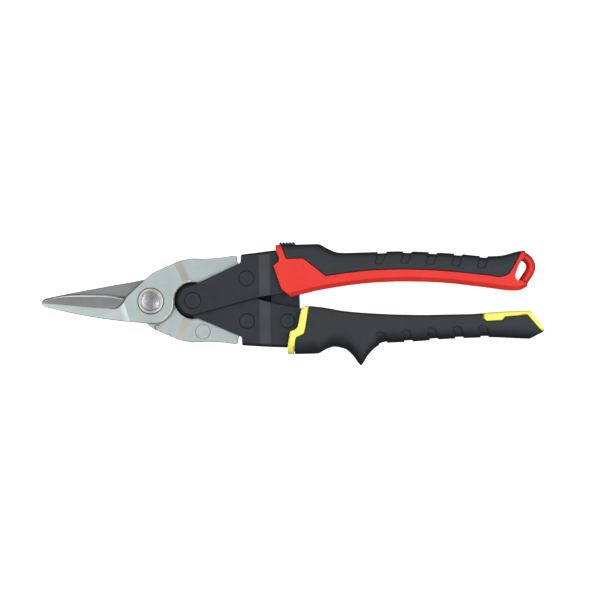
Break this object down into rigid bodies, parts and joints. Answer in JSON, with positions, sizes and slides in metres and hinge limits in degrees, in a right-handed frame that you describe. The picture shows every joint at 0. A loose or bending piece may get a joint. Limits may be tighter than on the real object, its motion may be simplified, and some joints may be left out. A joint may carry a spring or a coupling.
{
  "type": "aviation snips",
  "caption": "Compound-action aviation snips with long straight jaws, a pivoting thumb latch, cushioned two-tone grips, a finger guard and a lanyard loop.",
  "frame": {"origin": "middle of the footprint with the tool lying on its rear face, at the resting surface", "axes": "+X along the tool towards the grip ends, +Y towards the upper handle, +Z out of the front face"},
  "size_m": [0.2535, 0.0628, 0.021],
  "materials": {
    "blade_steel": "satin ground",
    "polished_steel": "polished",
    "zinc_plate": "zinc plated",
    "black_handle_steel": "satin black",
    "spring_steel": "drawn wire",
    "nylon": "moulded",
    "red_plastic": "moulded satin",
    "yellow_plastic": "moulded satin",
    "black_overmould": "fine matt texture"
  },
  "bodies": {
    "lower_handle": {"lower_handle_channel": "black_handle_steel", "lower_grip_sleeve": "yellow_plastic", "lower_grip_cover": "black_overmould", "lower_blade_rivet": "black_handle_steel", "latch_catch_pin": "black_handle_steel", "handle_pivot_rivet": "black_handle_steel", "handle_pivot_bush": "zinc_plate", "return_spring": "spring_steel"},
    "upper_handle": {"upper_handle_channel": "black_handle_steel", "upper_grip_sleeve": "red_plastic", "upper_grip_cover": "black_overmould", "upper_blade_rivet": "black_handle_steel", "upper_tang_washer_front": "zinc_plate", "upper_tang_washer_rear": "zinc_plate", "latch_pivot_pin": "zinc_plate", "latch_spacer_front": "nylon", "latch_spacer_rear": "nylon", "latch_friction_washer": "spring_steel"},
    "latch": {"latch_lever": "black_handle_steel", "latch_thumb_pad": "black_overmould"},
    "lower_blade": {"lower_blade": "blade_steel", "blade_stop_pin": "blade_steel", "pivot_bolt": "polished_steel", "pivot_washer": "zinc_plate", "pivot_nut": "zinc_plate", "pivot_nut_insert": "nylon"},
    "upper_blade": {"upper_blade": "blade_steel"}
  },
  "joints": [
    {"name": "handle_pivot", "type": "hinge", "parent": "lower_handle", "child": "upper_handle", "pos_m": [-0.0503, 0.00275, 0.0105], "axis": [0, 0, 1], "range_deg": [0, 36], "deforming": ["return_spring"]},
    {"name": "lower_blade_pivot", "type": "hinge", "parent": "lower_handle", "child": "lower_blade", "pos_m": [-0.0231, -0.00805, 0.0105], "axis": [0, 0, 1], "range_deg": [0, 8.5]},
    {"name": "upper_blade_pivot", "type": "hinge", "parent": "upper_handle", "child": "upper_blade", "pos_m": [-0.0231, 0.01355, 0.0105], "axis": [0, 0, 1], "range_deg": [-8.5, 0]},
    {"name": "latch_pivot", "type": "hinge", "parent": "upper_handle", "child": "latch", "pos_m": [-0.0021, 0.01475, 0.0105], "axis": [0, 0, 1], "range_deg": [-7, 0]}
  ],
  "couplings": [
    {"joint": "lower_blade_pivot", "follows": "handle_pivot", "ratio": 0.2355},
    {"joint": "upper_blade_pivot", "follows": "handle_pivot", "ratio": -0.2355}
  ]
}
